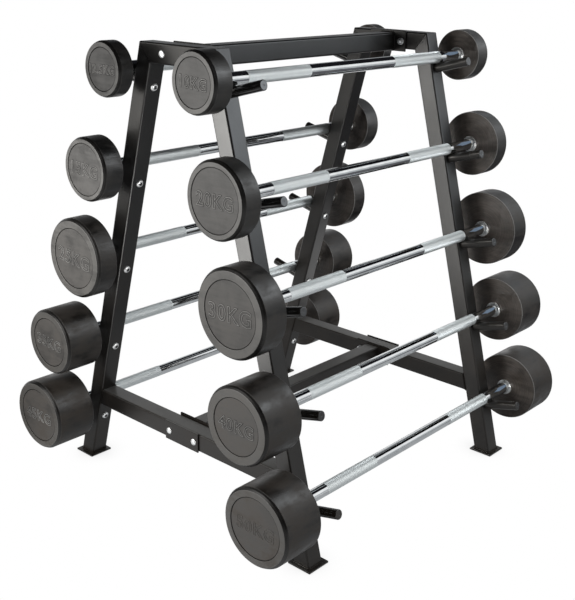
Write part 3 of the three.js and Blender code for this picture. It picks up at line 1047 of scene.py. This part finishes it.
flag_dark = make_card_material("flag_dark", (0.010, 0.010, 0.012))
flag_deep = make_card_material("flag_deep", (0.12, 0.12, 0.13))
flag_grey = make_card_material("flag_grey", (0.40, 0.41, 0.42))
flag_soft = make_card_material("flag_soft", (0.36, 0.37, 0.38))
flag_low = make_card_material("flag_low", (0.50, 0.52, 0.53))
panel_bright = make_card_material("panel_bright", (11.0, 10.9, 10.6))
panel_floor = make_card_material("panel_floor", (7.5, 7.4, 7.25))
panel_rear = make_card_material("panel_rear", (2.7, 2.66, 2.60))
panel_pegs = make_card_material("panel_pegs", (3.0, 2.85, 2.65))
panel_stub = make_card_material("panel_stub", (0.17, 0.22, 0.29))
panel_rail = make_card_material("panel_rail", (3.4, 3.4, 3.35))
panel_inner = make_card_material("panel_inner", (1.6, 1.6, 1.6))
panel_heads = make_card_material("panel_heads", (0.70, 0.73, 0.76))
panel_corner = make_card_material("panel_corner", (16.0, 15.8, 15.4))
card("flag_overhead", (1.3, 1.6, 3.0), 10.0, 7.4, (0, 0, -1), flag_dark)
card("flag_behind_camera", (-3.4, -3.1, 1.9), 8.0, 6.4, (0.74, 0.66, -0.12), flag_dark)
card("flag_back_right", (2.4, 1.75, 2.03), 4.4, 1.3, (-0.73, -0.68, 0), flag_soft)
card("flag_low_right", (3.9, -3.0, 0.70), 5.4, 1.4, (-0.8, 0.6, 0), flag_low)
card("flag_left_back", (-3.0, 3.1, 1.5), 4.6, 3.0, (0.7, -0.7, 0), flag_dark)
card("flag_left_floor", (-2.3, 3.2, 0.003), 3.4, 3.4, (0, 0, 1), flag_deep)
card("flag_floor_far", (2.9, -2.1, 0.003), 3.4, 5.4, (0, 0, 1), flag_deep)
card("flag_floor_near", (0.3, -0.3, 0.002), 1.8, 2.2, (0, 0, 1), flag_grey)


def panel(name, centre, width, height, direction, material, lit):
    """Glowing card that only the pieces of one collection show."""
    obj = card(name, centre, width, height, direction, material)
    obj.light_linking.receiver_collection = lit


panel("panel_left", (-1.90, 0.78, 0.62), 1.1, 1.15, (0.86, -0.51, 0), panel_bright, front_uprights)
panel("panel_floor_left", (-1.1, 1.05, 0.004), 1.0, 0.9, (0, 0, 1), panel_floor, front_uprights)
panel("panel_left_rear", (-1.90, 1.60, 0.25), 0.9, 0.75, (0.86, -0.51, 0), panel_rear, rear_uprights)
panel("panel_right_pegs", (-1.92, 1.02, 1.10), 1.5, 1.7, (0.86, -0.51, 0), panel_pegs, right_pegs)
panel("panel_top_rail", (-1.70, 1.74, 1.04), 0.36, 0.36, (0.64, -0.77, 0), panel_rail, top_rails)
# Dim cards that the bars show beside their right heads
for tier, head in enumerate(FRONT_HEADS, 1):
    low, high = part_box(f"bar_{head.weight}")
    middle = (low + high) / 2
    panel(f"panel_stub_{tier}", (HEAD_INNER_X - 0.0015, middle.y - 0.034, middle.z + 0.036), 0.046, 0.040,
          (-1, 0, 0), panel_stub, shafts)
panel("panel_rear_inner", (1.10, 0.02, 0.006), 0.62, 0.5, (0, 0, 1), panel_inner, rear_uprights)
panel("panel_right_heads", (2.2, -0.2, 1.75), 1.8, 0.9, (-0.9, 0, -0.43), panel_heads, right_heads)
panel("panel_corner_lines", (-1.15, -0.55, 0.004), 0.6, 0.6, (0, 0, 1), panel_corner, rear_uprights)

COLD = (0.87, 0.94, 1.0)
COOL = (0.93, 0.97, 1.0)
COOL_PALE = (0.95, 0.98, 1.0)
NEUTRAL = (0.97, 0.98, 1.0)
CREAM = (1.0, 0.99, 0.97)
WARM_PALE = (1.0, 0.985, 0.96)
WARM = (1.0, 0.98, 0.95)
WARMEST = (1.0, 0.975, 0.93)
soft_box("key_front_right", (1.5, -2.1, 1.72), (-0.2, -0.2, 0.9), 1.7, 1.2, 24, COLD, painted_pieces)
soft_box("key_rubber", (1.05, -1.2, 1.95), (-0.3, -0.25, 0.8), 1.3, 1.0, 15, COOL, rubber_pieces)
soft_box("key_rear_heads", (1.05, -0.94, 1.20), (-0.5, 0.4, 0.3), 0.9, 0.6, 5, NEUTRAL, rear_heads)
soft_box("key_grips", (1.05, -1.2, 1.95), (-0.3, -0.25, 0.8), 1.3, 1.0, 2.2, COOL, grip_pieces)
back_grips = soft_box("back_grips", (2.53, 0.65, 2.35), (0.3, -0.25, 0.7), 0.9, 0.9, 17, COOL_PALE,
                      back_lit_grips)
back_grips.light_linking.blocker_collection = back_lit_grips
soft_box("low_grips", (1.35, -0.90, 0.32), (0.3, -0.3, 0.7), 0.6, 0.5, 3, COOL_PALE, grip_pieces)
soft_box("side_heads", (-1.75, 0.30, 1.05), (-0.45, 0.0, 0.8), 1.3, 1.4, 23.5, WARM, rubber_pieces)
soft_box("side_painted", (-1.75, 0.9, 1.15), (-0.45, 0.0, 0.8), 1.3, 1.4, 20, WARMEST, painted_pieces)
soft_box("side_dim_head", (-1.75, 0.30, 1.05), (-0.45, 0.0, 0.8), 1.3, 1.4, 16, WARM, dim_head)
soft_box("side_inner_faces", (-1.3, -0.1, 0.75), (0.5, -0.35, 0.6), 0.8, 0.8, 12, WARM, inner_faces)
soft_box("side_middle_heads", (-1.6, 0.6, 0.9), (-0.5, 0.3, 0.75), 0.9, 0.9, 4.5, WARM, middle_heads)
soft_box("side_far_upright", (-1.35, 0.80, 0.40), (0.38, -0.3, 0.5), 0.8, 0.8, 4.6, WARM_PALE, far_upright)
soft_box("side_bright", (-1.75, 0.7, 1.15), (-0.1, 0.0, 0.7), 1.6, 1.6, 42, CREAM, bright_pieces)
soft_box("front_bright", (-0.6, -1.6, 0.6), (-0.3, 0.3, 0.6), 1.0, 0.8, 25, CREAM, bright_pieces)

world = bpy.data.worlds.new("white_room")
bpy.context.scene.world = world
world.use_nodes = True
sky = world.node_tree
sky.nodes.clear()
level = spread(sky, white_rays(sky), 0.0, 1.0, 0.36, 1.0)
room = node(sky, "ShaderNodeBackground", {"Color": (1, 1, 1, 1), "Strength": level}).outputs[0]
node(sky, "ShaderNodeOutputWorld", {"Surface": room})

# Camera, as solved from the photograph: its place, and its yaw, pitch and roll
CAMERA_AT = (-2.0233, -1.7702, 1.4146)
yaw, pitch, roll = (math.radians(a) for a in (41.773, -19.254, 1.113))
forward = Vector((math.cos(pitch) * math.cos(yaw), math.cos(pitch) * math.sin(yaw), math.sin(pitch)))
level_right = Vector((math.sin(yaw), -math.cos(yaw), 0))
level_up = level_right.cross(forward)
right = level_right * math.cos(roll) + level_up * math.sin(roll)
above = level_up * math.cos(roll) - level_right * math.sin(roll)
lens = bpy.data.cameras.new("camera")
lens.lens = 59.29
lens.sensor_width = 36.0
lens.clip_start = 0.05
lens.clip_end = 200.0
camera = bpy.data.objects.new("camera", lens)
bpy.context.scene.collection.objects.link(camera)
axes = Matrix((right, above, -forward)).transposed().to_4x4()
camera.matrix_world = Matrix.Translation(CAMERA_AT) @ axes
bpy.context.scene.camera = camera
bpy.context.scene.view_settings.view_transform = "Standard"
